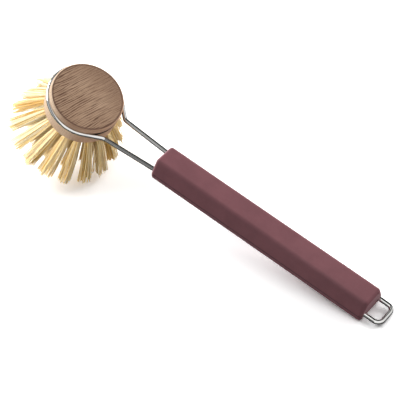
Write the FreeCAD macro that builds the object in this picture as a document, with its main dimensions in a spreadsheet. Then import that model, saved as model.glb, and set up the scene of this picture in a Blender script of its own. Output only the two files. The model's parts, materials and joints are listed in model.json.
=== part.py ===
"""Dish brush: a turned beech head snapped into one bent steel wire, with a moulded silicone grip.

The brush is modelled as it rests on a table: X runs along the handle towards the hang loop, Z is up,
and the origin is on the table, under the middle of the brush.
"""
import FreeCAD, Part
import math
import os
import Sketcher
from FreeCAD import Placement, Rotation, Vector

# Driving sizes in millimetres and degrees, grouped by the piece that they belong to.
SIZES = {
    # Head block. Heights count from the plane of the wire that holds it.
    "head_diameter": 45.0,
    "head_above_wire": 5.3,
    "head_below_wire": 11.6,
    "head_top_round": 1.2,
    "head_bottom_round": 1.6,
    # Wire: its centre runs this far outside the head's wall, in a groove with this clearance all round.
    "wire_diameter": 2.7,
    "wire_set_out": 0.25,
    "groove_clearance": 0.2,
    # Neck: two bends, just off the head's wall, where the wire leaves the ring's plane for the arms.
    "neck_gap": 1.9,
    "neck_spread": 19.2,
    "neck_pitch": 17.6,
    "neck_bend_radius": 4.0,
    # Arms, the legs that run this far inside the grip's widest edges, and the hang loop.
    "arm_length": 36.2,
    "leg_cover": 3.8,
    "leg_bend_depth": 2.0,
    "leg_bend_radius": 40.0,
    "loop_reach": 10.2,
    "loop_corner_radius": 4.0,
    "butt_depth": 60.0,
    "butt_gap": 0.6,
    # Grip, a six-sided bar that is widest in the plane of the legs, with a shallow base below them.
    "grip_length": 150.6,
    "grip_width": 22.0,
    "grip_above_legs": 9.05,
    "grip_below_legs": 4.4,
    "grip_top_width": 13.7,
    "grip_base_width": 21.6,
    "grip_edge_radius": 2.5,
    "grip_base_radius": 2.2,
    "grip_front_rim": 2.0,
    "grip_back_rim": 2.0,
    "bore_clearance": 0.1,
    "mouth_clearance": 0.3,
    # Tuft holes and the fibre that fills them.
    "hole_diameter": 3.4,
    "tuft_clearance": 0.05,
    "tuft_end_round": 0.9,
    # Anchors: flat wire across each hole, with the tuft folded round its lower edge.
    "anchor_thickness": 0.4,
    "anchor_width": 1.8,
    "anchor_bite": 0.3,
    "anchor_clearance": 0.02,
    "fold_thickness": 0.9,
    # Rings of tufts: how many, where their holes open as a share of the head's radius, how far they lean,
    # how deep they go, and how long and how wide the fibre is outside.
    "outer_count": 18,
    "outer_place_share": 0.79,
    "outer_lean": 38.0,
    "outer_depth": 6.2,
    "outer_length": 30.5,
    "outer_end_diameter": 9.4,
    "middle_count": 12,
    "middle_place_share": 0.505,
    "middle_lean": 24.0,
    "middle_depth": 8.0,
    "middle_length": 30.5,
    "middle_end_diameter": 9.0,
    "inner_count": 6,
    "inner_place_share": 0.245,
    "inner_lean": 10.0,
    "inner_depth": 8.4,
    "inner_length": 30.5,
    "inner_end_diameter": 8.2,
    "centre_depth": 8.4,
    "centre_length": 30.5,
    "centre_end_diameter": 8.2,
    # How far a cut runs past the face that it opens.
    "overrun": 4.0,
}
RINGS = ("outer", "middle", "inner")
RING_ARC_COUNT = 4
FULL_TURN = 360
HALF_TURN = 180
SLOPE_STEPS = 30
STEEPEST_REST = 45
VOLUME_TOLERANCE_SHARE = 0.005
X_AXIS = Vector(1, 0, 0)
Y_AXIS = Vector(0, 1, 0)
Z_AXIS = Vector(0, 0, 1)
# Which point of a sketched line or circle a constraint holds, and the sketch's upright axis.
START_INDEX = 1
END_INDEX = 2
MIDDLE_INDEX = 3
UPRIGHT = "V_Axis"

doc = FreeCAD.newDocument("dish_brush")
sheet = doc.addObject("Spreadsheet::Sheet", "sizes")
for row, (alias, value) in enumerate(SIZES.items(), start=1):
    sheet.set(f"A{row}", alias)
    sheet.set(f"B{row}", str(value))
    sheet.setAlias(f"B{row}", alias)
doc.recompute()


def size(alias):
    """The value of a cell, by its alias."""
    return float(sheet.get(alias))


# Two heights closer than this count as the same height.
NEAR = size("anchor_clearance") / 2


def over_sheet(expression):
    """Puts the sheet's name before each alias of an expression, whose words stand apart."""
    words = expression.split()
    return " ".join("sizes." + word if word in SIZES else word for word in words)


def bind(thing, **expressions):
    """Ties properties of a feature to expressions over the sheet."""
    for name, expression in expressions.items():
        thing.setExpression(name, over_sheet(expression))


def origin_feature(body, role):
    """One of a body's own planes or axes."""
    return next(item for item in body.Origin.OriginFeatures if item.Role == role)


def new_sketch(body, name, plane):
    """An empty sketch on one of a body's own planes."""
    sketch = body.newObject("Sketcher::SketchObject", name)
    sketch.AttachmentSupport = [(origin_feature(body, plane), "")]
    sketch.MapMode = "FlatFace"
    return sketch


def sketch_point(sketch, across, along):
    """The point that a pair of expressions over the sheet gives."""
    return Vector(sketch.evalExpression(over_sheet(across)), sketch.evalExpression(over_sheet(along)), 0)


def outline_sketch(body, name, plane, points):
    """A closed outline of straight lines, each corner tied to a pair of expressions over the sheet."""
    sketch = new_sketch(body, name, plane)
    corners = [sketch_point(sketch, across, along) for across, along in points]
    count = len(points)
    for index in range(count):
        sketch.addGeometry(Part.LineSegment(corners[index], corners[(index + 1) % count]))
    for index in range(count):
        following = (index + 1) % count
        sketch.addConstraint(Sketcher.Constraint("Coincident", index, END_INDEX, following, START_INDEX))
    for index, (across, along) in enumerate(points):
        tie_point(sketch, (index, START_INDEX), "DistanceX", across, corners[index].x)
        tie_point(sketch, (index, START_INDEX), "DistanceY", along, corners[index].y)
    return sketch


def circle_sketch(body, name, plane, places, radius):
    """Circles of one radius whose centres lie at the given places on the sketch's level axis."""
    sketch = new_sketch(body, name, plane)
    for index, place in enumerate(places):
        middle = sketch_point(sketch, place, "0")
        width = sketch.evalExpression(over_sheet(radius))
        sketch.addGeometry(Part.Circle(middle, Z_AXIS, width))
        tie_point(sketch, (index, MIDDLE_INDEX), "DistanceX", place, middle.x)
        tie_point(sketch, (index, MIDDLE_INDEX), "DistanceY", "0", middle.y)
        tie = sketch.addConstraint(Sketcher.Constraint("Radius", index, width))
        sketch.setExpression(f"Constraints[{tie}]", over_sheet(radius))
    return sketch


def tie_point(sketch, point, kind, expression, value):
    """Ties one coordinate of a point to an expression. Zero puts the point on the axis."""
    root = (-1, START_INDEX)
    if value == 0:
        axis = -2 if kind == "DistanceX" else -1
        sketch.addConstraint(Sketcher.Constraint("PointOnObject", *point, axis))
        return
    if value > 0:
        tie = sketch.addConstraint(Sketcher.Constraint(kind, *root, *point, value))
        sketch.setExpression(f"Constraints[{tie}]", over_sheet(expression))
    else:
        tie = sketch.addConstraint(Sketcher.Constraint(kind, *point, *root, -value))
        sketch.setExpression(f"Constraints[{tie}]", over_sheet(f"0 - ( {expression} )"))


def turn_sketch(body, kind, name, sketch, axis):
    """A solid or a cut, by its kind, from a full turn of a sketch about one of its lines."""
    feature = body.newObject(f"PartDesign::{kind}", name)
    feature.Profile = sketch
    feature.ReferenceAxis = (sketch, [axis])
    feature.Angle = FULL_TURN
    return feature


def round_edges(body, name, alias, wanted):
    """Rounds those edges of the body's last feature that the test accepts."""
    doc.recompute()
    base = body.Tip
    names = [f"Edge{number}" for number, edge in enumerate(base.Shape.Edges, start=1) if wanted(edge)]
    feature = body.newObject("PartDesign::Fillet", name)
    feature.Base = (base, names)
    bind(feature, Radius=alias)
    return feature


def at_height(height):
    """A test for circles that lie flat at a height."""
    def wanted(edge):
        box = edge.BoundBox
        return math.isclose(box.ZMin, height, abs_tol=NEAR) and math.isclose(box.ZMax, height, abs_tol=NEAR)
    return wanted


def along_bar(length, low, high):
    """A test for edges that run along a bar of a length, between two heights."""
    def wanted(edge):
        box = edge.BoundBox
        return box.XLength > length / 2 and box.ZMin > low - NEAR and box.ZMax < high + NEAR
    return wanted


def ring_angles(ring):
    """Turns of a ring's tufts about the head, half a step off the handle so that a pair faces it."""
    if ring == "centre":
        return [0]
    count = int(size(f"{ring}_count"))
    step = FULL_TURN / count
    return [step / 2 + step * number for number in range(count)]


def hole_terms(ring):
    """Expressions for the distance of a ring's holes from the head's axis and for their lean."""
    if ring == "centre":
        return "0", "0"
    return f"head_diameter / 2 * {ring}_place_share", f"{ring}_lean"


def hole_point(ring, along, across):
    """Expressions for a point in the upright plane of a ring's hole.

    The first distance counts along the hole from its bottom, the second square to it.
    """
    radius, lean = hole_terms(ring)
    past_mouth = f"( {along} - {ring}_depth )"
    return (
        f"{radius} + {past_mouth} * sin( {lean} ) + ( {across} ) * cos( {lean} )",
        f"0 - head_below_wire - {past_mouth} * cos( {lean} ) + ( {across} ) * sin( {lean} )",
    )


def hole_place(ring, angle):
    """Bottom of a tuft's hole in the head's frame, with Z out of the hole and Y round the ring."""
    radius, lean = (float(sheet.evalExpression(over_sheet(term))) for term in hole_terms(ring))
    turn = Rotation(Z_AXIS, angle) * Rotation(Y_AXIS, HALF_TURN - lean)
    mouth = Rotation(Z_AXIS, angle).multVec(Vector(radius, 0, -size("head_below_wire")))
    return Placement(mouth - turn.multVec(Z_AXIS) * size(f"{ring}_depth"), turn)


def head_place():
    """The head's frame in the handle's frame: origin at the ring's centre, Z along the head's axis."""
    turn = Rotation(Y_AXIS, size("neck_pitch"))
    return Placement(turn.multVec(X_AXIS) * -neck_reach(), turn)


def neck_reach():
    """Distance from the ring's centre to the line through the neck's two bends."""
    return size("head_diameter") / 2 + size("neck_gap")


def ring_radius():
    """Radius of the wire's centre line round the head."""
    return size("head_diameter") / 2 + size("wire_set_out")


def half_leg_spread():
    """Distance from the grip's middle plane to the centre of either leg."""
    return size("grip_width") / 2 - size("leg_cover")


def make_head_block():
    """Turned disc with rounded edges, a half-round groove for the wire and the drilled tuft holes."""
    body = doc.addObject("PartDesign::Body", "head_block")
    section = outline_sketch(body, "turned_section", "XZ_Plane", [
        ("0", "0 - head_below_wire"),
        ("head_diameter / 2", "0 - head_below_wire"),
        ("head_diameter / 2", "head_above_wire"),
        ("0", "head_above_wire"),
    ])
    turn_sketch(body, "Revolution", "turned_disc", section, UPRIGHT)
    round_edges(body, "top_round", "head_top_round", at_height(size("head_above_wire")))
    round_edges(body, "bottom_round", "head_bottom_round", at_height(-size("head_below_wire")))
    # The groove has the wire's own centre, so that the head can turn in the ring.
    groove = circle_sketch(
        body,
        "groove_section",
        "XZ_Plane",
        ["head_diameter / 2 + wire_set_out"],
        "wire_diameter / 2 + groove_clearance",
    )
    turn_sketch(body, "Groove", "wire_groove", groove, UPRIGHT)
    for ring in RINGS:
        cuts = cut_hole(body, ring)
        pattern = body.newObject("PartDesign::PolarPattern", f"{ring}_holes")
        pattern.Originals = cuts
        pattern.Axis = (origin_feature(body, "Z_Axis"), [""])
        pattern.Angle = FULL_TURN
        bind(pattern, Occurrences=f"{ring}_count")
        body.Tip = pattern
        doc.recompute()
    cut_hole(body, "centre")
    return body


def cut_hole(body, ring):
    """First tuft hole of a ring, with the slots that the two ends of its anchor bite into the wood."""
    bore = outline_sketch(body, f"{ring}_hole_section", "XZ_Plane", [
        hole_point(ring, "0", "0"),
        hole_point(ring, f"{ring}_depth + overrun", "0"),
        hole_point(ring, f"{ring}_depth + overrun", "hole_diameter / 2"),
        hole_point(ring, "0", "hole_diameter / 2"),
    ])
    low = "tuft_clearance + fold_thickness - anchor_clearance"
    high = f"{low} + anchor_width + 2 * anchor_clearance"
    side = "anchor_thickness / 2 + anchor_clearance"
    bite = outline_sketch(body, f"{ring}_anchor_section", "XZ_Plane", [
        hole_point(ring, low, f"0 - ( {side} )"),
        hole_point(ring, high, f"0 - ( {side} )"),
        hole_point(ring, high, side),
        hole_point(ring, low, side),
    ])
    for sketch in (bore, bite):
        sketch.AttachmentOffset = Placement(Vector(0, 0, 0), Rotation(Y_AXIS, ring_angles(ring)[0]))
    hole = turn_sketch(body, "Groove", f"{ring}_hole", bore, "Edge1")
    slot = body.newObject("PartDesign::Pocket", f"{ring}_anchor_slot")
    slot.Profile = bite
    slot.SideType = "Symmetric"
    bind(slot, Length="hole_diameter + 2 * anchor_bite + 2 * anchor_clearance")
    doc.recompute()
    return [hole, slot]


def anchor_corner(clearance):
    """Low corner of an anchor, or of its slot with a clearance, in the frame of its hole."""
    length = size("hole_diameter") + 2 * size("anchor_bite")
    height = size("tuft_clearance") + size("fold_thickness")
    corner = Vector(-size("anchor_thickness") / 2, -length / 2, height)
    return Placement(corner - Vector(clearance, clearance, clearance), Rotation())


def make_tuft(label, ring):
    """Bundle of plant fibre: a root that fills the hole, folded round the anchor, and a spreading end."""
    body = doc.addObject("PartDesign::Body", label)
    root = "hole_diameter / 2 - tuft_clearance"
    end = f"{ring}_depth + {ring}_length"
    # The bundle spreads from where it is clear of the hole, whose mouth is cut at a slant.
    free = f"{ring}_depth + hole_diameter / 2 * tan( {hole_terms(ring)[1]} )"
    section = outline_sketch(body, f"{label}_section", "XZ_Plane", [
        ("0", "tuft_clearance"),
        (root, "tuft_clearance"),
        (root, free),
        (f"{ring}_end_diameter / 2", end),
        ("0", end),
    ])
    turn_sketch(body, "Revolution", f"{label}_bundle", section, UPRIGHT)
    height = size(f"{ring}_depth") + size(f"{ring}_length")
    round_edges(body, f"{label}_end_round", "tuft_end_round", at_height(height))
    slot = body.newObject("PartDesign::SubtractiveBox", f"{label}_anchor_slot")
    bind(
        slot,
        Length="anchor_thickness + 2 * anchor_clearance",
        Width="hole_diameter + 2 * anchor_bite + 2 * anchor_clearance",
        Height="anchor_width + 2 * anchor_clearance",
    )
    slot.Placement = anchor_corner(size("anchor_clearance"))
    return body


def make_anchor(label):
    """Short piece of flat steel wire that pins the fold of one tuft in its hole."""
    anchor = doc.addObject("Part::Box", label)
    bind(
        anchor,
        Length="anchor_thickness",
        Width="hole_diameter + 2 * anchor_bite",
        Height="anchor_width",
    )
    return anchor


def rounded_run(points, radii):
    """Edges of a path through the points, with an arc of the given radius at each point between its ends."""
    edges = []
    start = points[0]
    for index, radius in enumerate(radii, start=1):
        corner = points[index]
        back = (points[index - 1] - corner).normalize()
        ahead = (points[index + 1] - corner).normalize()
        half = back.getAngle(ahead) / 2
        middle = (back + ahead).normalize()
        centre = corner + middle * (radius / math.sin(half))
        first = corner + back * (radius / math.tan(half))
        last = corner + ahead * (radius / math.tan(half))
        edges.append(Part.LineSegment(start, first).toShape())
        edges.append(Part.Arc(first, centre - middle * radius, last).toShape())
        start = last
    edges.append(Part.LineSegment(start, points[-1]).toShape())
    return edges


def ring_point(angle):
    """Point of the wire's ring, in the handle's frame, at an angle from the handle's side."""
    return head_place().multVec(Vector(math.cos(angle), math.sin(angle), 0) * ring_radius())


def wire_path():
    """One wire: a leg, an arm, the ring round the head, the other arm and leg, the hang loop and back."""
    half_neck = size("neck_spread") / 2
    half_leg = half_leg_spread()
    bend = size("arm_length") + size("leg_bend_depth")
    grip_end = size("arm_length") + size("grip_length")
    loop_end = grip_end + size("loop_reach")
    butt = grip_end - size("butt_depth")
    # Angle at which the straight from the neck's bend touches the ring.
    neck_distance = math.hypot(neck_reach(), half_neck)
    leave = math.atan2(half_neck, neck_reach()) + math.acos(ring_radius() / neck_distance)
    near_points = [
        Vector(butt, -half_leg, 0),
        Vector(bend, -half_leg, 0),
        Vector(0, -half_neck, 0),
        ring_point(-leave),
    ]
    edges = rounded_run(near_points, [size("leg_bend_radius"), size("neck_bend_radius")])
    step = (2 * math.pi - 2 * leave) / RING_ARC_COUNT
    for number in range(RING_ARC_COUNT):
        turn = -leave - step * number
        arc = Part.Arc(ring_point(turn), ring_point(turn - step / 2), ring_point(turn - step))
        edges.append(arc.toShape())
    far_points = [
        ring_point(leave),
        Vector(0, half_neck, 0),
        Vector(bend, half_leg, 0),
        Vector(loop_end, half_leg, 0),
        Vector(loop_end, -half_leg, 0),
        Vector(butt + size("butt_gap"), -half_leg, 0),
    ]
    corner = size("loop_corner_radius")
    edges += rounded_run(far_points, [size("neck_bend_radius"), size("leg_bend_radius"), corner, corner])
    return Part.Wire(edges)


def make_wire_frame():
    """Polished steel wire bent in two planes. Its two ends meet inside the grip."""
    path = wire_path()
    start = path.Edges[0].Vertexes[0].Point
    circle = Part.Wire([Part.Circle(start, X_AXIS, size("wire_diameter") / 2).toShape()])
    wire = doc.addObject("Part::Feature", "wire_frame")
    wire.Shape = path.makePipeShell([circle], True, False)
    section_area = math.pi * size("wire_diameter") ** 2 / 4
    if abs(wire.Shape.Volume / (section_area * path.Length) - 1) > VOLUME_TOLERANCE_SHARE:
        raise RuntimeError("the wire's volume doesn't match its length")
    return wire


def make_grip():
    """Moulded six-sided bar with softened edges and a bore for each of the wire's two legs."""
    body = doc.addObject("PartDesign::Body", "grip")
    section = outline_sketch(body, "grip_section", "YZ_Plane", [
        ("grip_top_width / 2", "grip_above_legs"),
        ("0 - grip_top_width / 2", "grip_above_legs"),
        ("0 - grip_width / 2", "0"),
        ("0 - grip_base_width / 2", "0 - grip_below_legs"),
        ("grip_base_width / 2", "0 - grip_below_legs"),
        ("grip_width / 2", "0"),
    ])
    bar = body.newObject("PartDesign::Pad", "grip_bar")
    bar.Profile = section
    bind(bar, Length="grip_length")
    length = size("grip_length")
    base = -size("grip_below_legs")
    round_edges(body, "grip_edges", "grip_edge_radius", along_bar(length, 0, size("grip_above_legs")))
    round_edges(body, "grip_base_edges", "grip_base_radius", along_bar(length, base, base))
    round_edges(body, "grip_front", "grip_front_rim", lambda edge: edge.BoundBox.XMax < NEAR)
    round_edges(body, "grip_back", "grip_back_rim", lambda edge: edge.BoundBox.XMin > length - NEAR)
    cut_bores(body, "leg_bores", "bore_clearance", "grip_length")
    cut_bores(body, "mouth_reliefs", "mouth_clearance", "2 * leg_bend_depth")
    doc.recompute()
    return body


def cut_bores(body, name, clearance, depth):
    """A pair of round cuts from the grip's front, one for each leg of the wire."""
    leg = "grip_width / 2 - leg_cover"
    places = [leg, f"0 - ( {leg} )"]
    sketch = circle_sketch(body, f"{name}_section", "YZ_Plane", places, f"wire_diameter / 2 + {clearance}")
    cut = body.newObject("PartDesign::Pocket", name)
    cut.Profile = sketch
    cut.Reversed = True
    bind(cut, Length=depth)


def lowest(shape, slope):
    """Height of a shape's lowest point when the handle slopes down to its end by an angle."""
    tilted = shape.copy()
    tilted.rotate(Vector(0, 0, 0), Y_AXIS, slope)
    return tilted.optimalBoundingBox(False).ZMin


def resting_slope(tufts, handle):
    """Slope at which the tufts that face the handle and the handle's far end touch the table together."""
    low, high = 0, STEEPEST_REST
    for _ in range(SLOPE_STEPS):
        slope = (low + high) / 2
        if min(lowest(tuft, slope) for tuft in tufts) < min(lowest(shape, slope) for shape in handle):
            low = slope
        else:
            high = slope
    return slope


def put(places, base):
    """Moves every piece to its place in the handle's frame, whose own place is the base."""
    for piece, place in places:
        piece.Placement = base.multiply(place)
    doc.recompute()


def check_built(pieces):
    """Stops the build if any feature failed or any piece has no sound shape."""
    for thing in doc.Objects:
        if "Invalid" in thing.State or "Error" in thing.State:
            raise RuntimeError(f"{thing.Label} failed to build")
    for piece in pieces:
        if piece.Shape.isNull() or not piece.Shape.isValid() or piece.Shape.Volume <= 0:
            raise RuntimeError(f"{piece.Label} has no sound shape")


head_block = make_head_block()
wire_frame = make_wire_frame()
grip = make_grip()
subparts = [head_block, wire_frame, grip]
# Places in the handle's frame, whose origin is between the neck's two bends, with X along the handle.
places = [
    (head_block, head_place()),
    (wire_frame, Placement()),
    (grip, Placement(X_AXIS * size("arm_length"), Rotation())),
]
anchors = []
tufts_by_handle = []
for ring in RINGS + ("centre",):
    for number, angle in enumerate(ring_angles(ring), start=1):
        label = f"{ring}_tuft_{number:02d}"
        hole = head_place().multiply(hole_place(ring, angle))
        tuft = make_tuft(label, ring)
        anchor = make_anchor(f"{label}_anchor")
        places.append((tuft, hole))
        places.append((anchor, hole.multiply(anchor_corner(0))))
        subparts.append(tuft)
        anchors.append(anchor)
        if number == 1:
            tufts_by_handle.append(tuft)
tuft_anchors = doc.addObject("Part::Compound", "tuft_anchors")
tuft_anchors.Links = anchors
subparts.append(tuft_anchors)
put(places, Placement())
check_built(subparts)

# Lay the brush down: tilt it until it rests, then put the origin on the table under its middle.
slope = resting_slope([tuft.Shape for tuft in tufts_by_handle], [grip.Shape, wire_frame.Shape])
tilt = Rotation(Y_AXIS, slope)
put(places, Placement(Vector(0, 0, 0), tilt))
boxes = [piece.Shape.optimalBoundingBox(False) for piece in subparts]
under_middle = Vector(
    (min(box.XMin for box in boxes) + max(box.XMax for box in boxes)) / 2,
    (min(box.YMin for box in boxes) + max(box.YMax for box in boxes)) / 2,
    min(box.ZMin for box in boxes),
)
rest = Placement(-under_middle, tilt)
put(places, rest)
check_built(subparts)

os.makedirs("parts", exist_ok=True)
for piece in subparts:
    piece.Shape.exportStep(f"parts/{piece.Label}.step")
head = rest.multiply(head_place())
print("slope of the handle", slope)
print("centre of the ring", head.Base, "head's axis", head.Rotation.multVec(Z_AXIS))
print("between the neck's bends", rest.Base)
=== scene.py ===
"""Looks of the dish brush: beech head, steel wire, soft grip and fibre tufts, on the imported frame."""
import json
import math
import random

import bpy
from mathutils import Matrix, Vector


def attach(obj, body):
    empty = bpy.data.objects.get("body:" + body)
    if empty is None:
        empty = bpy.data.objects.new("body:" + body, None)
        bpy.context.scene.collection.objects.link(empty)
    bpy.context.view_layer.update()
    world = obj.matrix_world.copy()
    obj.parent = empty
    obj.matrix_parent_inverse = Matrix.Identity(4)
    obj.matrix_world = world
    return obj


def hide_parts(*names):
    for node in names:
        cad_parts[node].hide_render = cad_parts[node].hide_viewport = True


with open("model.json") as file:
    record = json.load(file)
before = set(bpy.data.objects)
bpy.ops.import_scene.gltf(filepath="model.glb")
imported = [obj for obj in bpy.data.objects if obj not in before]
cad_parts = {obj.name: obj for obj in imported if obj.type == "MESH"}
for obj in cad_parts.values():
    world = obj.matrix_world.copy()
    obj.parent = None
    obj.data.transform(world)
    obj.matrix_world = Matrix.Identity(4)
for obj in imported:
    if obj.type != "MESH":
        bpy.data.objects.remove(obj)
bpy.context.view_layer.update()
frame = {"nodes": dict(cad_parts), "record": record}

# Head block: a disc turned from a beech board, with a half-round groove for the wire round its wall.
# Its top face is browned and burnished, with a darker rim. Its rounded edges and its wall keep the paler
# colour of the wood; towards the handle the wall is darkened with painted shade.
MM = 0.001
HEAD_RADIUS = 22.5
HEAD_TOP = 5.3
HEAD_BOTTOM = -11.6
TOP_ROUND = 1.2
TOP_FLAT_RADIUS = HEAD_RADIUS - TOP_ROUND

GRAIN_TURN = math.radians(79)
LINE_STRETCH = 0.12
LINE_DENSITY = 0.23
LINE_WAVER = 6.5
LINE_LEVELS = (0.55, 0.88)
LINE_FADE = (14.0, -6.0)
FAINTEST_LINE = 0.35
NOISE_LEVELS = (0.3, 0.7)
GRAIN_DEPTH = 0.06
PORE_DEPTH_SHARE = 0.5
OPEN_GRAIN = (0.0, 1.5)
BURNISHED_ROUGHNESS = 0.55
OPEN_GRAIN_ROUGHNESS = 0.75

# Stretches in millimetres, in the head's own axes, over which each browning and each painted shade come in.
TOP_HEIGHT_BROWNING = (HEAD_TOP - 0.2, HEAD_TOP - 0.04)
OUTER_RADIUS_BROWNING = (6.0, 20.0)
ONE_SIDE_BROWNING = (2.0, 20.0)
RIM_RADIUS_BROWNING = (TOP_FLAT_RADIUS - 0.9, TOP_FLAT_RADIUS - 0.1)
ABOVE_WIRE = (0.0, 0.8)
# Painted shade: the wall darkens towards the handle, which is turned away from the lights.
UPPER_WALL_SHADE = (-11.0, 8.0)
LOWER_WALL_SHADE = (4.0, 14.0)
LEAST_UPPER_WALL_SHADE = 0.06
GROOVE_RADIUS_SHADE = (HEAD_RADIUS - 0.05, HEAD_RADIUS - 0.5)
GROOVE_HEIGHT_SHADE = (1.8, 1.5)


def screen_colour(red, green, blue):
    """Turns levels from 0 to 255, as a screen shows them, into the linear colour that a shader takes."""
    return [*(((level / 255 + 0.055) / 1.055) ** 2.4 for level in (red, green, blue)), 1.0]


# Each layer has the mark that it follows, how strongly it covers there, and its colour.
BROWNED = screen_colour(175, 142, 114)
BROWNED_LAYERS = {
    "clouds": (1.0, screen_colour(186, 154, 126)),
    "outer": (0.6, screen_colour(160, 127, 100)),
    "one_side": (0.75, screen_colour(140, 108, 84)),
    "flecks": (0.45, screen_colour(190, 161, 136)),
    "pores": (0.55, screen_colour(114, 84, 64)),
    "lines": (0.9, screen_colour(92, 63, 46)),
    "rim": (0.75, screen_colour(96, 66, 50)),
}
PALE = screen_colour(238, 206, 174)
PALE_LAYERS = {
    "clouds": (1.0, screen_colour(246, 219, 189)),
    "pores": (0.4, screen_colour(194, 154, 122)),
    "flecks": (0.3, screen_colour(250, 232, 208)),
    "lines": (0.35, screen_colour(204, 162, 126)),
    # Painted shade on the wall towards the handle, and in the groove.
    "handle_side_shade": (0.85, screen_colour(188, 145, 115)),
    "groove": (1.0, screen_colour(36, 24, 18)),
}

spin = frame["record"]["behaviour"]["joints"][0]
head_centre = Vector(spin["pos_m"])
head_tilt = math.atan2(spin["axis"][0], spin["axis"][2])
head_matrix = Matrix.Translation(head_centre) @ Matrix.Rotation(head_tilt, 4, "Y")


def feed(tree, socket, value):
    """Links a socket to the output of another node, or sets its value."""
    if isinstance(value, bpy.types.NodeSocket):
        tree.links.new(value, socket)
    else:
        socket.default_value = value


def add_node(tree, kind, sockets, **settings):
    """Adds a shader node, with its settings and with a value or a link for each named socket."""
    node = tree.nodes.new(f"ShaderNode{kind}")
    for name, value in settings.items():
        setattr(node, name, value)
    for name, value in sockets.items():
        feed(tree, node.inputs[name], value)
    return node


def arithmetic(tree, kind, operation, values):
    """Adds a node that does one step of arithmetic on values or sockets, and gives its outputs."""
    node = add_node(tree, kind, {}, operation=operation)
    for socket, value in zip(node.inputs, values):
        feed(tree, socket, value)
    return node.outputs


def maths(tree, operation, *values):
    """One step of arithmetic on numbers."""
    return arithmetic(tree, "Math", operation, values)["Value"]


def stretched(tree, vector, scale):
    """A vector with each of its parts multiplied by the same part of a scale."""
    return arithmetic(tree, "VectorMath", "MULTIPLY", (vector, scale))["Vector"]


def vector_length(tree, vector):
    """The length of a vector, in the units that it is given in."""
    return arithmetic(tree, "VectorMath", "LENGTH", (vector,))["Value"]


def spread(tree, value, start, end, low=0.0, high=1.0):
    """Eases a value that runs from start to end into one that runs from low to high, and no further."""
    limits = {"Value": value, "From Min": start, "From Max": end, "To Min": low, "To Max": high}
    return add_node(tree, "MapRange", limits, interpolation_type="SMOOTHSTEP").outputs["Result"]


def tint(tree, share, base, colour):
    """Lays a colour over a base by a share from 0 to 1."""
    node = add_node(tree, "Mix", {}, data_type="RGBA")
    share_socket, base_socket, colour_socket = node.inputs[0], node.inputs[6], node.inputs[7]
    feed(tree, share_socket, share)
    feed(tree, base_socket, base)
    feed(tree, colour_socket, colour)
    return node.outputs[2]


def layered(tree, base, layers, marks):
    """Lays the colour of each layer over the base, one after another, where the layer's mark is."""
    colour = base
    for name, (strength, layer_colour) in layers.items():
        colour = tint(tree, maths(tree, "MULTIPLY", marks[name], strength), colour, layer_colour)
    return colour


def new_material(name):
    """A material with its Principled shader, both ready for more nodes."""
    material = bpy.data.materials.new(name)
    material.use_nodes = True
    return material, material.node_tree, material.node_tree.nodes["Principled BSDF"]


def local_millimetres(tree, place, turn):
    """Coordinates in millimetres along a piece's own axes."""
    where = add_node(tree, "TexCoord", {}).outputs["Object"]
    to_piece = {"Vector": where, "Location": place, "Rotation": turn, "Scale": (MM, MM, MM)}
    return add_node(tree, "Mapping", to_piece, vector_type="TEXTURE").outputs["Vector"]


def parts_of(tree, vector):
    """The X, Y and Z of a vector."""
    return add_node(tree, "SeparateXYZ", {"Vector": vector}).outputs


def new_group(name, inputs, output):
    """A node group that takes a vector and named values and puts out one value, with its two ends."""
    group = bpy.data.node_groups.new(name, "ShaderNodeTree")
    group.interface.new_socket("Vector", in_out="INPUT", socket_type="NodeSocketVector")
    for input_name in inputs:
        group.interface.new_socket(input_name, in_out="INPUT", socket_type="NodeSocketFloat")
    group.interface.new_socket(output, in_out="OUTPUT", socket_type="NodeSocketFloat")
    given = group.nodes.new("NodeGroupInput").outputs
    result = group.nodes.new("NodeGroupOutput").inputs[output]
    return group, given, result


def make_streaks_group():
    """Marks of wood grain that run along X, fading in between two levels of noise."""
    group, given, result = new_group("streaks", ("Across", "Along", "Start", "End"), "Mask")
    density = {"X": given["Along"], "Y": given["Across"], "Z": given["Across"]}
    density = add_node(group, "CombineXYZ", density).outputs["Vector"]
    where = stretched(group, given["Vector"], density)
    noise = add_node(group, "TexNoise", {"Vector": where, "Scale": 1.0, "Detail": 2.0}).outputs["Fac"]
    feed(group, result, spread(group, noise, given["Start"], given["End"]))
    return group


streaks_group = make_streaks_group()


def streaks(tree, vector, across, along, start, end):
    """Places the streaks group: marks per millimetre across and along, and the noise levels of their fade."""
    values = {"Vector": vector, "Across": across, "Along": along, "Start": start, "End": end}
    return add_node(tree, "Group", values, node_tree=streaks_group).outputs["Mask"]


def growth_lines(tree, in_grain):
    """Thin wavering lines a couple of millimetres apart, broken in places and fainter at one end."""
    waves = {
        "Vector": stretched(tree, in_grain, (LINE_STRETCH, 1.0, 1.0)),
        "Scale": LINE_DENSITY,
        "Distortion": LINE_WAVER,
        "Detail": 2.0,
        "Detail Scale": 2.2,
    }
    growth = add_node(tree, "TexWave", waves, bands_direction="Y").outputs["Fac"]
    clear_end = spread(tree, parts_of(tree, in_grain)["X"], *LINE_FADE, low=FAINTEST_LINE)
    broken = streaks(tree, in_grain, across=0.45, along=0.06, start=0.28, end=0.5)
    lines = maths(tree, "MULTIPLY", spread(tree, growth, *LINE_LEVELS), clear_end)
    return maths(tree, "MULTIPLY", lines, broken)


def grain_marks(tree, in_grain):
    """What the grain shows all through the wood."""
    clouds = add_node(tree, "TexNoise", {"Vector": in_grain, "Scale": 0.07, "Detail": 2.0}).outputs["Fac"]
    return {
        "lines": growth_lines(tree, in_grain),
        "pores": streaks(tree, in_grain, across=3.0, along=0.12, start=0.48, end=0.62),
        "flecks": streaks(tree, in_grain, across=4.0, along=1.4, start=0.5, end=0.7),
        "clouds": spread(tree, clouds, *NOISE_LEVELS),
    }


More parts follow.
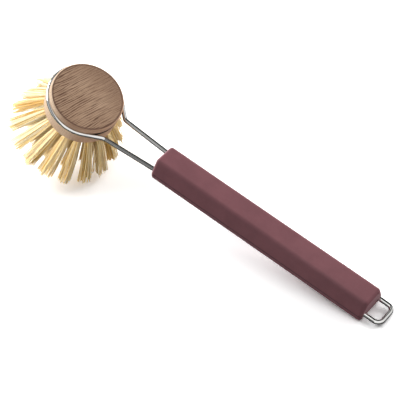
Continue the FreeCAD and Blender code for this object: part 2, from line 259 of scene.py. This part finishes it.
def browning_marks(tree, in_head):
    """Where the top is browned; painted shade on the wall at the handle, further round above the wire, and in
    the groove.
    """
    place = parts_of(tree, in_head)
    radius = vector_length(tree, stretched(tree, in_head, (1.0, 1.0, 0.0)))
    # Painted shade: the wall darkens towards the handle, from further round above the wire than below it.
    upper_wall = spread(tree, place["X"], *UPPER_WALL_SHADE, low=LEAST_UPPER_WALL_SHADE)
    upper_wall = maths(tree, "MULTIPLY", spread(tree, place["Z"], *ABOVE_WIRE), upper_wall)
    lower_wall = spread(tree, place["X"], *LOWER_WALL_SHADE)
    from_wire = maths(tree, "ABSOLUTE", place["Z"])
    return {
        "top": spread(tree, place["Z"], *TOP_HEIGHT_BROWNING),
        "outer": spread(tree, radius, *OUTER_RADIUS_BROWNING),
        "one_side": spread(tree, place["Y"], *ONE_SIDE_BROWNING),
        "rim": spread(tree, radius, *RIM_RADIUS_BROWNING),
        "handle_side_shade": maths(tree, "MAXIMUM", upper_wall, lower_wall),
        "groove": maths(tree, "MULTIPLY", spread(tree, radius, *GROOVE_RADIUS_SHADE),
                        spread(tree, from_wire, *GROOVE_HEIGHT_SHADE)),
    }


def make_beech():
    material, tree, shader = new_material("beech")
    in_head = local_millimetres(tree, head_centre, (0, head_tilt, 0))
    to_grain = {"Vector": in_head, "Rotation": (0, 0, GRAIN_TURN)}
    in_grain = add_node(tree, "Mapping", to_grain, vector_type="TEXTURE").outputs["Vector"]
    marks = {**grain_marks(tree, in_grain), **browning_marks(tree, in_head)}
    browned = layered(tree, BROWNED, BROWNED_LAYERS, marks)
    pale = layered(tree, PALE, PALE_LAYERS, marks)
    feed(tree, shader.inputs["Base Color"], tint(tree, marks["top"], pale, browned))

    open_grain = maths(tree, "ADD", marks["pores"], marks["lines"])
    roughness = spread(tree, open_grain, *OPEN_GRAIN, BURNISHED_ROUGHNESS, OPEN_GRAIN_ROUGHNESS)
    feed(tree, shader.inputs["Roughness"], roughness)
    dents = maths(tree, "MULTIPLY_ADD", marks["pores"], -PORE_DEPTH_SHARE,
                  maths(tree, "MULTIPLY", marks["lines"], -1.0))
    relief = add_node(tree, "Bump", {"Height": dents, "Strength": 0.3, "Distance": GRAIN_DEPTH * MM})
    feed(tree, shader.inputs["Normal"], relief.outputs["Normal"])
    return material


frame["nodes"]["head_block"].material_slots[0].material = make_beech()

# Wire frame: one length of drawn steel wire, bent to the ring round the head, the two arms, the legs inside
# the grip and the hang loop, then polished. Its two ends meet inside the grip.
STEEL = screen_colour(214, 214, 212)
STEEL_PALER = screen_colour(226, 226, 224)


def make_mottle_group():
    """Soft uneven patches of handling, polish or moulding, from the low value to the high one."""
    group, given, result = new_group("mottle", ("Patches", "Low", "High"), "Value")
    patches = {"Vector": given["Vector"], "Scale": given["Patches"], "Detail": 3.0}
    noise = add_node(group, "TexNoise", patches).outputs["Fac"]
    feed(group, result, spread(group, noise, *NOISE_LEVELS, given["Low"], given["High"]))
    return group


mottle_group = make_mottle_group()


def mottle(tree, vector, patches, low=0.0, high=1.0):
    """Places the mottle group: patches per millimetre and the values that it runs between."""
    values = {"Vector": vector, "Patches": patches, "Low": low, "High": high}
    return add_node(tree, "Group", values, node_tree=mottle_group).outputs["Value"]


def make_polished_steel():
    material, tree, shader = new_material("polished_steel")
    where = local_millimetres(tree, (0, 0, 0), (0, 0, 0))
    colour = tint(tree, mottle(tree, where, patches=0.15), STEEL, STEEL_PALER)
    feed(tree, shader.inputs["Base Color"], colour)
    feed(tree, shader.inputs["Roughness"], mottle(tree, where, patches=0.6, low=0.07, high=0.13))
    shader.inputs["Metallic"].default_value = 1.0
    return material


frame["nodes"]["wire_frame"].material_slots[0].material = make_polished_steel()

# Grip: a six-sided bar of soft mulberry silicone, moulded with a matte skin and slid on the two wire legs.
# A fine parting line from the two halves of the mould runs along its widest edges, darkened with painted
# shade, and the rim of its front end is lightened with a painted highlight.
GRIP_BELOW_LEGS = 4.4
GRIP_HALF_LENGTH = 75.3
# The parting line is a real dent in the bump, darkened in colour with painted shade.
PARTING_LINE = (0.3, 0.12)
# A painted highlight on the rounded rim of the front end comes in over these stretches.
FRONT_HIGHLIGHT_STARTS = (0.04, 0.3)
FRONT_HIGHLIGHT_ENDS = (1.6, 0.8)
STIPPLE_DEPTH = 0.02
PARTING_DEPTH_IN_STIPPLES = 3.0
SKIN = screen_colour(115, 71, 77)
SKIN_LAYERS = {
    "patches": (1.0, screen_colour(122, 76, 82)),
    # painted shade along the parting line
    "parting_dent_and_shade": (0.85, screen_colour(62, 38, 42)),
    # painted highlight on the front rim
    "front_rim_highlight": (0.7, screen_colour(176, 128, 136)),
}
SHEEN = screen_colour(226, 190, 196)

under = next(mount for mount in frame["record"]["mounts"] if mount["name"] == "grip_underside")
handle_slope = math.atan2(-under["axis"][0], -under["axis"][2])
grip_middle = Vector(under["pos_m"]) - Vector(under["axis"]) * GRIP_BELOW_LEGS * MM


def make_silicone():
    material, tree, shader = new_material("silicone")
    in_grip = local_millimetres(tree, grip_middle, (0, handle_slope, 0))
    place = parts_of(tree, in_grip)
    from_parting = maths(tree, "ABSOLUTE", place["Z"])
    from_front = maths(tree, "ADD", GRIP_HALF_LENGTH, place["X"])
    marks = {
        "patches": mottle(tree, in_grip, patches=0.08),
        # the parting line: its dent in the bump, and painted shade in its colour
        "parting_dent_and_shade": spread(tree, from_parting, *PARTING_LINE),
        # painted highlight on the rounded rim of the front end
        "front_rim_highlight": maths(tree, "MULTIPLY", spread(tree, from_front, *FRONT_HIGHLIGHT_STARTS),
                           spread(tree, from_front, *FRONT_HIGHLIGHT_ENDS)),
    }
    feed(tree, shader.inputs["Base Color"], layered(tree, SKIN, SKIN_LAYERS, marks))
    feed(tree, shader.inputs["Roughness"], mottle(tree, in_grip, patches=0.5, low=0.58, high=0.7))
    shader.inputs["Specular IOR Level"].default_value = 0.35
    shader.inputs["Sheen Weight"].default_value = 0.5
    shader.inputs["Sheen Tint"].default_value = SHEEN
    shader.inputs["Sheen Roughness"].default_value = 0.3
    stipple = mottle(tree, in_grip, patches=5.0)
    skin_height = maths(tree, "MULTIPLY_ADD", marks["parting_dent_and_shade"], -PARTING_DEPTH_IN_STIPPLES, stipple)
    relief = add_node(tree, "Bump", {"Height": skin_height, "Strength": 0.2, "Distance": STIPPLE_DEPTH * MM})
    feed(tree, shader.inputs["Normal"], relief.outputs["Normal"])
    return material


frame["nodes"]["grip"].material_slots[0].material = make_silicone()

# Tufts: bundles of stiff split plant fibre, cut blunt. Each is folded in half over a flat anchor in its own
# leaning hole and opens at once into a wide flat fan of clumps. Use has laid them a little to one side and
# worn some sides of the head shorter.

# Radii, and the widths of the fans' ends, are in millimetres; first places, leans and worn sides in degrees.
TUFT_RINGS = {
    "outer": {"count": 18, "radius": 0.79 * HEAD_RADIUS, "first": 10, "lean": 38, "end": 9.4},
    "middle": {"count": 12, "radius": 0.505 * HEAD_RADIUS, "first": 15, "lean": 24, "end": 9.0},
    "inner": {"count": 6, "radius": 0.245 * HEAD_RADIUS, "first": 30, "lean": 10, "end": 8.2},
    "centre": {"count": 1, "radius": 0.0, "first": 0, "lean": 0, "end": 8.2},
}
TUFT_LENGTH = 29.8
TUFT_SWEEP = Vector((-0.9, -1.6, 0.0))
WORN_SIDES = {40: 6.5, 165: 9.0}
WORN_NARROWNESS = 3
ROOT_DEPTH = 4.0
ROOT_RADIUS = 1.5
FAN_THICKNESS = 0.7
FLARE = 0.6
LOWEST_TIP = 0.3

# In millimetres, shares or radians. A pair holds the least and the most of a random draw, a spread its
# usual step.
CLUMPS = 10
CLUMP_FIBRES = 9
CLUMP_REACH = (0.5, 0.92)
CLUMP_HALF_WIDTH = (0.9, 1.5)
CLUMP_HALF_THICKNESS = 0.4
CLUMP_TURN_SPREAD = 0.4
CLUMP_SWEEP_SPREAD = 0.4
CLUMP_EXTRA_LENGTH = (-1.8, 0.5)
CLUMP_SHARE_AT_ROOT = 0.36
FIBRE_SHARE_AT_ROOT = 0.4
FIBRE_THICKNESS_SPREAD = 0.5
FIBRE_EXTRA_LENGTH = (-0.8, 0.5)
FIBRE_RADIUS = (0.2, 0.31)
FIBRE_TAPER = 0.3
FIBRE_BOW_SPREAD = 0.3
FIBRE_TONE_SPREAD = 0.26
FIBRE_SIDES = 5
FIBRE_RINGS = 9
STRAYS = 2
STRAY_EXTRA_LENGTH = (0.5, 3.0)
STRAY_BOW_SPREAD = 1.3

# Stretches of a fibre's tone, of the way along it and of the head's X over which a colour or a painted shade
# comes in.
PALE_TONES = (0.0, 0.35)
PALEST_TONES = (0.3, 0.8)
# Painted shade: fibres darken towards their roots, under the head.
ROOT_SHADE = (0.42, 0.05)
# Painted shade: fibres towards the handle, in the head's shade, are tinted a deeper gold.
HANDLE_SIDE_SHADE = (-22.0, 6.0)
STRAW = screen_colour(206, 166, 100)
STRAW_LAYERS = {
    "pale": (1.0, screen_colour(248, 230, 182)),
    "palest": (1.0, screen_colour(255, 247, 222)),
    # painted shade at the roots
    "root": (0.45, screen_colour(192, 144, 74)),
    "patches": (0.18, screen_colour(220, 174, 94)),
    # painted shade: a deeper gold on the fibres towards the handle
    "handle_side_shade": (0.5, screen_colour(234, 194, 114)),
}


def fibre_line(rng, clump, length):
    """The points of one fibre in its tuft's own axes, from its root: Z runs out of the hole's mouth."""
    aside = clump["flat"] * rng.uniform(-1.0, 1.0) + clump["thick"] * rng.gauss(0.0, FIBRE_THICKNESS_SPREAD)
    root = (clump["centre"] * CLUMP_SHARE_AT_ROOT + aside * FIBRE_SHARE_AT_ROOT).to_3d()
    if root.length > ROOT_RADIUS:
        root *= ROOT_RADIUS / root.length
    end = (clump["centre"] + aside).to_3d()
    bow = Vector((rng.gauss(0.0, clump["bow"]), rng.gauss(0.0, clump["bow"]), 0.0))
    points = [root - Vector((0.0, 0.0, ROOT_DEPTH))]
    for step in range(FIBRE_RINGS - 1):
        share = step / (FIBRE_RINGS - 2)
        sideways = root.lerp(end, share ** FLARE)
        sideways = sideways + bow * math.sin(math.pi * share) + clump["sweep"] * share * share
        points.append(sideways + Vector((0.0, 0.0, length * share)))
    return points


def add_fibre(mesh, line, radius, tone):
    """Adds a closed tube with a tapering cut end along a fibre's points."""
    first = len(mesh["points"])
    for step, point in enumerate(line):
        share = step / (len(line) - 1)
        ahead = line[min(step + 1, len(line) - 1)] - line[max(step - 1, 0)]
        turn = ahead.to_track_quat("Z", "X").to_matrix()
        width = radius * (1.0 - FIBRE_TAPER * share * share)
        for side in range(FIBRE_SIDES):
            angle = 2 * math.pi * side / FIBRE_SIDES
            mesh["points"].append(point + turn @ Vector((math.cos(angle), math.sin(angle), 0.0)) * width)
            mesh["tone"].append(tone)
            mesh["along"].append(share)
    for step in range(len(line) - 1):
        low = first + step * FIBRE_SIDES
        high = low + FIBRE_SIDES
        for side in range(FIBRE_SIDES):
            after = (side + 1) % FIBRE_SIDES
            mesh["faces"].append((low + side, low + after, high + after, high + side))
    last = first + (len(line) - 1) * FIBRE_SIDES
    mesh["faces"].append(tuple(first + side for side in reversed(range(FIBRE_SIDES))))
    mesh["faces"].append(tuple(last + side for side in range(FIBRE_SIDES)))


def tuft_clumps(rng, end_radius):
    """The flat clumps of one tuft, one in the middle of the fan and the rest round it, and a few strays."""
    clumps = []
    start = rng.uniform(0.0, 2 * math.pi)
    for index in range(CLUMPS):
        angle = start + 2 * math.pi * index / (CLUMPS - 1)
        reach = 0.0 if index == CLUMPS - 1 else end_radius * rng.uniform(*CLUMP_REACH)
        facing = rng.gauss(math.pi / 2, CLUMP_TURN_SPREAD)
        clumps.append({
            "centre": Vector((math.cos(angle) * FAN_THICKNESS, math.sin(angle))) * reach,
            "flat": Vector((math.cos(facing), math.sin(facing))) * rng.uniform(*CLUMP_HALF_WIDTH),
            "thick": Vector((-math.sin(facing), math.cos(facing))) * CLUMP_HALF_THICKNESS,
            "sweep": Vector((rng.gauss(0.0, CLUMP_SWEEP_SPREAD), rng.gauss(0.0, CLUMP_SWEEP_SPREAD), 0.0)),
            "length": rng.uniform(*CLUMP_EXTRA_LENGTH),
            "tone": rng.random(),
            "bow": FIBRE_BOW_SPREAD,
            "fibres": CLUMP_FIBRES,
        })
    for clump in rng.sample(clumps, STRAYS):
        extra = rng.uniform(*STRAY_EXTRA_LENGTH)
        clumps.append({**clump, "length": extra, "tone": 1.0, "bow": STRAY_BOW_SPREAD, "fibres": 1})
    return clumps


def swept(line):
    """Lays a fibre, given in the head's axes, to the side that the brush was last drawn from."""
    last = len(line) - 1
    return [point + TUFT_SWEEP * max(0.0, (step - 1) / (last - 1)) ** 2 for step, point in enumerate(line)]


def depth_below_centre(point):
    """How far under the head's centre a point of the head's axes comes at the lowest turn of the head."""
    return math.hypot(point.x, point.y) * math.sin(head_tilt) - point.z * math.cos(head_tilt)


def trimmed(line):
    """Shortens a fibre that would reach below the table at some turn of the head."""
    room = head_centre.z / MM - LOWEST_TIP
    mouth, reach = line[1], depth_below_centre(line[-1])
    if reach <= room:
        return line
    share = (room - depth_below_centre(mouth)) / (reach - depth_below_centre(mouth))
    return line[:1] + [mouth + (point - mouth) * share for point in line[1:]]


def worn_length(angle):
    """How much shorter use has left the fibres at an angle round the head."""
    return sum(most * max(0.0, math.cos(math.radians(angle - side))) ** WORN_NARROWNESS
               for side, most in WORN_SIDES.items())


def make_tuft(name, ring, angle):
    """One tuft as a mesh of separate fibres."""
    rng = random.Random(name)
    tuft_length = TUFT_LENGTH - worn_length(angle)
    tuft_matrix = Matrix.Rotation(math.radians(angle), 4, "Z")
    tuft_matrix @= Matrix.Translation((ring["radius"], 0.0, HEAD_BOTTOM))
    tuft_matrix @= Matrix.Rotation(math.pi - math.radians(ring["lean"]), 4, "Y")
    to_world = head_matrix @ Matrix.Scale(MM, 4)
    fibres = {"points": [], "faces": [], "tone": [], "along": []}
    for clump in tuft_clumps(rng, ring["end"] / 2):
        for _ in range(clump["fibres"]):
            length = tuft_length + clump["length"] + rng.uniform(*FIBRE_EXTRA_LENGTH)
            line = trimmed(swept([tuft_matrix @ point for point in fibre_line(rng, clump, length)]))
            tone = min(1.0, max(0.0, clump["tone"] + rng.gauss(0.0, FIBRE_TONE_SPREAD)))
            add_fibre(fibres, line, rng.uniform(*FIBRE_RADIUS), tone)
    mesh = bpy.data.meshes.new(name + "_fibres")
    mesh.from_pydata([to_world @ point for point in fibres["points"]], [], fibres["faces"])
    for attribute in ("tone", "along"):
        mesh.attributes.new(attribute, "FLOAT", "POINT").data.foreach_set("value", fibres[attribute])
    mesh.polygons.foreach_set("use_smooth", [True] * len(mesh.polygons))
    tuft = bpy.data.objects.new(name + "_fibres", mesh)
    bpy.context.scene.collection.objects.link(tuft)
    return tuft


def make_plant_fibre():
    material, tree, shader = new_material("plant_fibre")
    tone = add_node(tree, "Attribute", {}, attribute_name="tone").outputs["Fac"]
    along = add_node(tree, "Attribute", {}, attribute_name="along").outputs["Fac"]
    in_head = local_millimetres(tree, head_centre, (0, head_tilt, 0))
    marks = {
        "pale": spread(tree, tone, *PALE_TONES),
        "palest": spread(tree, tone, *PALEST_TONES),
        # painted shade towards the roots
        "root": spread(tree, along, *ROOT_SHADE),
        "patches": mottle(tree, in_head, patches=0.5),
        "handle_side_shade": spread(tree, parts_of(tree, in_head)["X"], *HANDLE_SIDE_SHADE),
    }
    feed(tree, shader.inputs["Base Color"], layered(tree, STRAW, STRAW_LAYERS, marks))
    feed(tree, shader.inputs["Roughness"], mottle(tree, in_head, patches=0.8, low=0.5, high=0.68))
    shader.inputs["Specular IOR Level"].default_value = 0.15
    shader.inputs["Subsurface Weight"].default_value = 0.3
    shader.inputs["Subsurface Radius"].default_value = (1.0, 0.9, 0.7)
    shader.inputs["Subsurface Scale"].default_value = 0.3 * MM
    return material


plant_fibre = make_plant_fibre()
all_tufts = bpy.data.collections.new("all_tufts")
for ring_name, ring in TUFT_RINGS.items():
    for index in range(ring["count"]):
        node = f"{ring_name}_tuft_{index + 1:02d}"
        tuft = make_tuft(node, ring, ring["first"] + 360 * index / ring["count"])
        tuft.data.materials.append(plant_fibre)
        all_tufts.objects.link(tuft)
        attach(tuft, "head")
        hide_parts(node)

# Tuft anchors: short pieces of plain flat steel wire, driven across the holes over the folds of the tufts.
# They sit deep in the wood, so only their dull drawn finish matters.
DULL_STEEL = screen_colour(160, 160, 158)
DULL_STEEL_PALER = screen_colour(186, 186, 184)


def make_anchor_steel():
    material, tree, shader = new_material("anchor_steel")
    in_head = local_millimetres(tree, head_centre, (0, head_tilt, 0))
    colour = tint(tree, mottle(tree, in_head, patches=0.8), DULL_STEEL, DULL_STEEL_PALER)
    feed(tree, shader.inputs["Base Color"], colour)
    feed(tree, shader.inputs["Roughness"], mottle(tree, in_head, patches=1.5, low=0.32, high=0.48))
    shader.inputs["Metallic"].default_value = 1.0
    return material


frame["nodes"]["tuft_anchors"].material_slots[0].material = make_anchor_steel()

# Studio: a pale floor that the brush lies on, a soft light from the head's end, one from behind, and an even
# room. A small light fills the shaded fibres alone, and a white card shows in the steel of the hang loop.
# The floor looks darker in the steel than to the eye, as it does where a lit sweep ends close to the object.
FLOOR_HALF_SIDE = 3.0
FLOOR_SEEN = 1.48
FLOOR_BOUNCE = 0.85
FLOOR_IN_STEEL_NEAR = 0.1
FLOOR_IN_STEEL_FAR = 0.05
FLOOR_NEAR_TO_FAR = (0.08, 0.3)
FLOOR_OVAL = (0.6, 1.0, 0.0)
CORNERS = ((-1, -1), (1, -1), (1, 1), (-1, 1))


def make_pale_floor():
    """Matte paper that is lit harder for the camera than for the object, and is dark in the steel."""
    material, tree, shader = new_material("pale_floor")
    tree.nodes.remove(shader)
    ray = add_node(tree, "LightPath", {}).outputs
    level = maths(tree, "MULTIPLY_ADD", ray["Is Camera Ray"], FLOOR_SEEN - FLOOR_BOUNCE, FLOOR_BOUNCE)
    where = add_node(tree, "TexCoord", {}).outputs["Object"]
    away = vector_length(tree, stretched(tree, where, FLOOR_OVAL))
    in_steel = spread(tree, away, *FLOOR_NEAR_TO_FAR, FLOOR_IN_STEEL_NEAR, FLOOR_IN_STEEL_FAR)
    darker = maths(tree, "MULTIPLY", ray["Is Glossy Ray"], maths(tree, "SUBTRACT", in_steel, FLOOR_BOUNCE))
    matte = add_node(tree, "BsdfDiffuse", {"Color": maths(tree, "ADD", level, darker)})
    feed(tree, tree.nodes["Material Output"].inputs["Surface"], matte.outputs["BSDF"])
    return material


floor_mesh = bpy.data.meshes.new("floor")
floor_corners = [(x * FLOOR_HALF_SIDE, y * FLOOR_HALF_SIDE, 0.0) for x, y in CORNERS]
floor_mesh.from_pydata(floor_corners, [], [(0, 1, 2, 3)])
floor_mesh.materials.append(make_pale_floor())
floor = bpy.data.objects.new("floor", floor_mesh)
bpy.context.scene.collection.objects.link(floor)


def pointing(heading, elevation):
    """The direction with a heading and an elevation, both in radians."""
    level = math.cos(elevation)
    return Vector((level * math.cos(heading), level * math.sin(heading), math.sin(elevation)))


def add_soft_light(name, azimuth, elevation, distance, side, power, aim=Vector()):
    """A square light that faces a point of the brush from a direction given in degrees."""
    light = bpy.data.lights.new(name, "AREA")
    light.shape = "SQUARE"
    light.size = side
    light.energy = power
    towards = pointing(math.radians(azimuth), math.radians(elevation))
    holder = bpy.data.objects.new(name, light)
    holder.location = aim + towards * distance
    holder.rotation_euler = towards.to_track_quat("Z", "Y").to_euler()
    bpy.context.scene.collection.objects.link(holder)
    return holder


add_soft_light("head_end_light", azimuth=186, elevation=32, distance=1.5, side=1.0, power=22.0)
back_light = add_soft_light("back_light", azimuth=80, elevation=26, distance=1.5, side=1.2, power=20.0)
back_light.visible_glossy = False
fibre_light = add_soft_light("fibre_light", azimuth=243, elevation=12, distance=0.4, side=0.3, power=2.2,
                             aim=head_centre)
fibre_light.data.color = (1.0, 0.97, 0.88)
fibre_light.light_linking.receiver_collection = all_tufts
fibre_light.visible_camera = False
fibre_light.visible_glossy = False

loop_eye = next(mount for mount in frame["record"]["mounts"] if mount["name"] == "hang_loop")
loop_card = add_soft_light("loop_card", azimuth=239, elevation=68, distance=0.1, side=0.08, power=0.024,
                           aim=Vector(loop_eye["pos_m"]))
loop_card.visible_diffuse = False
loop_card.visible_camera = False

# The room is lighter behind the brush than in front of it. The steel mirrors a white screen past the
# handle's end, a grey one past the head and a dark gap between them. A pair is a stretch of a
# direction's X or Y.
ROOM_FRONT = 0.09
ROOM_BACK = 0.76
FRONT_TO_BACK = (-0.7, 0.7)
HANDLE_SCREEN_EDGE = (0.03, 0.2)
HEAD_SCREEN_LEVEL = 0.6
HEAD_SCREEN_EDGE = (-0.08, -0.36)
GAP_LEVEL = 0.15
SHADED_BACK_LEVEL = 0.04
SHADED_BACK_TO_LIT = (0.5, 0.0)
HEAD_END_LIT = (-0.35, -0.6)
WHITE = (1.0, 1.0, 1.0, 1.0)


def make_room():
    """The room's even light, with its own levels for what the steel mirrors."""
    world = bpy.data.worlds.new("room")
    world.use_nodes = True
    tree = world.node_tree
    ray = add_node(tree, "LightPath", {}).outputs
    towards = parts_of(tree, add_node(tree, "TexCoord", {}).outputs["Generated"])
    ambient = spread(tree, towards["Y"], *FRONT_TO_BACK, ROOM_FRONT, ROOM_BACK)
    level = maths(tree, "MAXIMUM", ambient, ray["Is Camera Ray"])

    lit_side = maths(tree, "MAXIMUM", spread(tree, towards["Y"], *SHADED_BACK_TO_LIT, SHADED_BACK_LEVEL, 1.0),
                     spread(tree, towards["X"], *HEAD_END_LIT))
    head_screen = spread(tree, towards["X"], *HEAD_SCREEN_EDGE, GAP_LEVEL, HEAD_SCREEN_LEVEL)
    handle_screen = spread(tree, towards["X"], *HANDLE_SCREEN_EDGE)
    mirrored = maths(tree, "ADD", maths(tree, "MULTIPLY", head_screen, lit_side), handle_screen)
    in_steel = maths(tree, "MULTIPLY", ray["Is Glossy Ray"], maths(tree, "SUBTRACT", mirrored, level))

    backdrop = tree.nodes["Background"]
    backdrop.inputs["Color"].default_value = WHITE
    feed(tree, backdrop.inputs["Strength"], maths(tree, "ADD", level, in_steel))
    return world


bpy.context.scene.world = make_room()
bpy.context.scene.view_settings.view_transform = "Standard"

# Camera: a long lens, high in front of the grip's side, fitted to the photograph's ellipse and corners.
CAMERA_ELEVATION = math.radians(46.153)
CAMERA_HEADING = math.radians(130.466)
CAMERA_ROLL = math.radians(3.375)
CAMERA_DISTANCE = 1.06163
CAMERA_AIM = Vector((-0.00453, 0.00657, 0.00682))
LENS = 162.0
SENSOR = 36.0
NEAREST_SEEN = 0.01

forward = pointing(CAMERA_HEADING, -CAMERA_ELEVATION)
level_right = Vector((math.sin(CAMERA_HEADING), -math.cos(CAMERA_HEADING), 0.0))
right = Matrix.Rotation(CAMERA_ROLL, 3, forward) @ level_right
upright = right.cross(forward)
camera_data = bpy.data.cameras.new("camera")
camera_data.lens = LENS
camera_data.sensor_width = SENSOR
camera_data.clip_start = NEAREST_SEEN
camera = bpy.data.objects.new("camera", camera_data)
camera_turn = Matrix((right, upright, -forward)).transposed().to_4x4()
camera.matrix_world = Matrix.Translation(CAMERA_AIM - forward * CAMERA_DISTANCE) @ camera_turn
bpy.context.scene.collection.objects.link(camera)
bpy.context.scene.camera = camera
